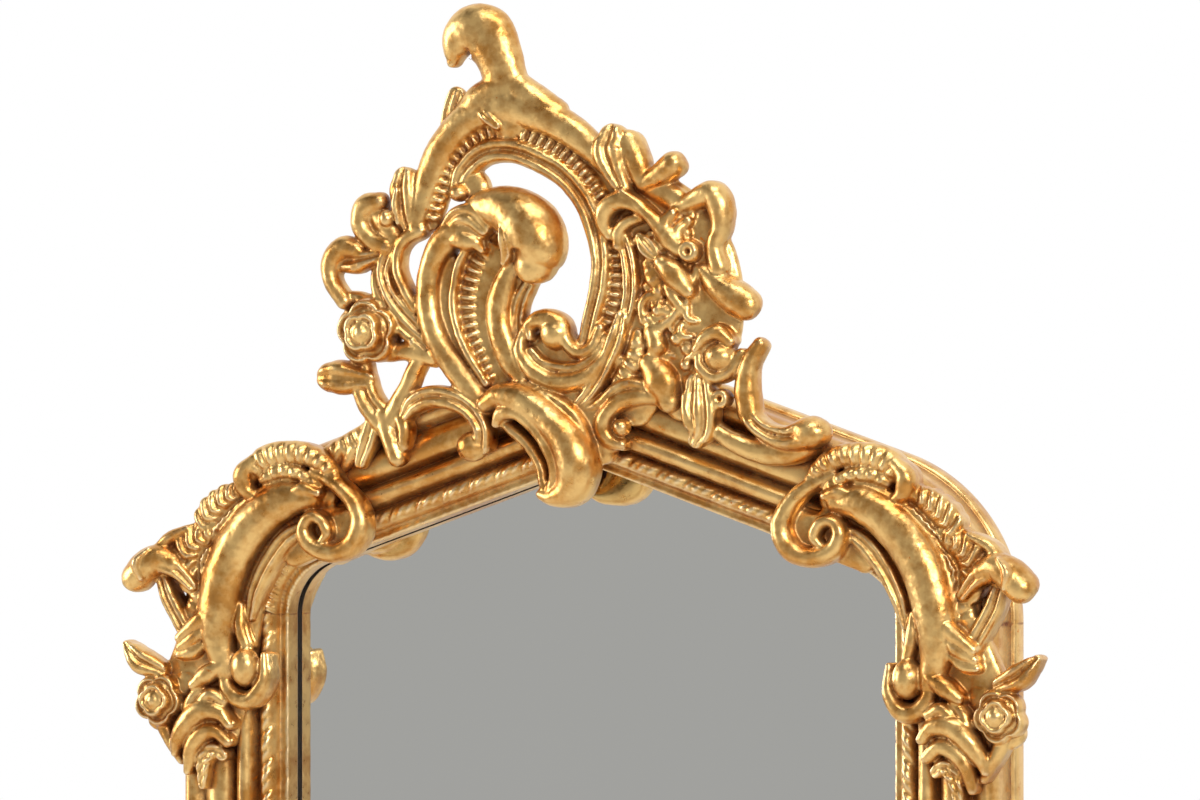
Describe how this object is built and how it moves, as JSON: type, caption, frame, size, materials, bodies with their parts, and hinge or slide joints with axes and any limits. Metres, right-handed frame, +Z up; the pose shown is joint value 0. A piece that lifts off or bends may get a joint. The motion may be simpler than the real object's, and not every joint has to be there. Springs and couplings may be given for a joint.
{
  "type": "cheval floor mirror",
  "caption": "Free-standing gilt rococo cheval mirror: an arched carved frame with an openwork crest, hung on side pivots between two turned posts.",
  "frame": {"origin": "centre of the footprint on the floor, under the tilt axis", "axes": "+Z up, the glass faces -Y, +X to the viewer's right"},
  "size_m": [0.9006, 0.5042, 1.8184],
  "materials": {
    "gilding": "antique gold leaf over carved wood, umber in the recesses",
    "silvered_glass": "silvered mirror glass",
    "backing_board": "brown hardboard",
    "bare_pine": "bare pine strip",
    "brass": "satin brass",
    "zinc_steel": "zinc-plated steel",
    "felt": "dark felt"
  },
  "bodies": {
    "stand": {"stretcher": "gilding", "stretcher_shell": "gilding", "left_post": "gilding", "left_post_finial": "gilding", "left_base_block": "gilding", "left_front_leg": "gilding", "left_back_leg": "gilding", "left_front_glide": "felt", "left_back_glide": "felt", "left_stretcher_bolt": "brass", "left_barrel_nut": "zinc_steel", "left_bush": "brass", "left_spacer": "brass", "right_post": "gilding", "right_post_finial": "gilding", "right_base_block": "gilding", "right_front_leg": "gilding", "right_back_leg": "gilding", "right_front_glide": "felt", "right_back_glide": "felt", "right_stretcher_bolt": "brass", "right_barrel_nut": "zinc_steel", "right_bush": "brass", "right_spacer": "brass"},
    "mirror": {"top_rail": "gilding", "left_stile": "gilding", "right_stile": "gilding", "bottom_rail": "gilding", "mirror_glass": "silvered_glass", "backing_board": "backing_board", "top_glass_strip": "bare_pine", "bottom_glass_strip": "bare_pine", "left_glass_strip": "bare_pine", "right_glass_strip": "bare_pine", "crest_carving": "gilding", "left_shoulder_carving": "gilding", "right_shoulder_carving": "gilding", "left_lower_carving": "gilding", "right_lower_carving": "gilding", "apron_carving": "gilding", "left_pivot_plate": "brass", "left_upper_plate_screw": "zinc_steel", "left_lower_plate_screw": "zinc_steel", "left_upper_button_screw": "zinc_steel", "left_lower_button_screw": "zinc_steel", "right_pivot_plate": "brass", "right_upper_plate_screw": "zinc_steel", "right_lower_plate_screw": "zinc_steel", "right_upper_button_screw": "zinc_steel", "right_lower_button_screw": "zinc_steel"},
    "left_knob": {"left_knob": "gilding", "left_pivot_stud": "zinc_steel"},
    "right_knob": {"right_knob": "gilding", "right_pivot_stud": "zinc_steel"},
    "left_upper_turn_button": {"left_upper_turn_button": "brass"},
    "left_lower_turn_button": {"left_lower_turn_button": "brass"},
    "right_upper_turn_button": {"right_upper_turn_button": "brass"},
    "right_lower_turn_button": {"right_lower_turn_button": "brass"}
  },
  "joints": [
    {"name": "mirror_tilt", "type": "hinge", "parent": "stand", "child": "mirror", "pos_m": [0, 0, 0.95], "axis": [1, 0, 0], "range_deg": [-25, 25]},
    {"name": "left_knob_turn", "type": "hinge", "parent": "stand", "child": "left_knob", "pos_m": [-0.4063, 0, 0.95], "axis": [-1, 0, 0], "range_deg": [0, 360]},
    {"name": "right_knob_turn", "type": "hinge", "parent": "stand", "child": "right_knob", "pos_m": [0.4063, 0, 0.95], "axis": [1, 0, 0], "range_deg": [0, 360]},
    {"name": "left_upper_turn_button_turn", "type": "hinge", "parent": "mirror", "child": "left_upper_turn_button", "pos_m": [-0.282, 0.0253, 1.21], "axis": [0, 1, 0], "range_deg": [-90, 90]},
    {"name": "left_lower_turn_button_turn", "type": "hinge", "parent": "mirror", "child": "left_lower_turn_button", "pos_m": [-0.282, 0.0253, 0.37], "axis": [0, 1, 0], "range_deg": [-90, 90]},
    {"name": "right_upper_turn_button_turn", "type": "hinge", "parent": "mirror", "child": "right_upper_turn_button", "pos_m": [0.282, 0.0253, 1.21], "axis": [0, 1, 0], "range_deg": [-90, 90]},
    {"name": "right_lower_turn_button_turn", "type": "hinge", "parent": "mirror", "child": "right_lower_turn_button", "pos_m": [0.282, 0.0253, 0.37], "axis": [0, 1, 0], "range_deg": [-90, 90]}
  ]
}
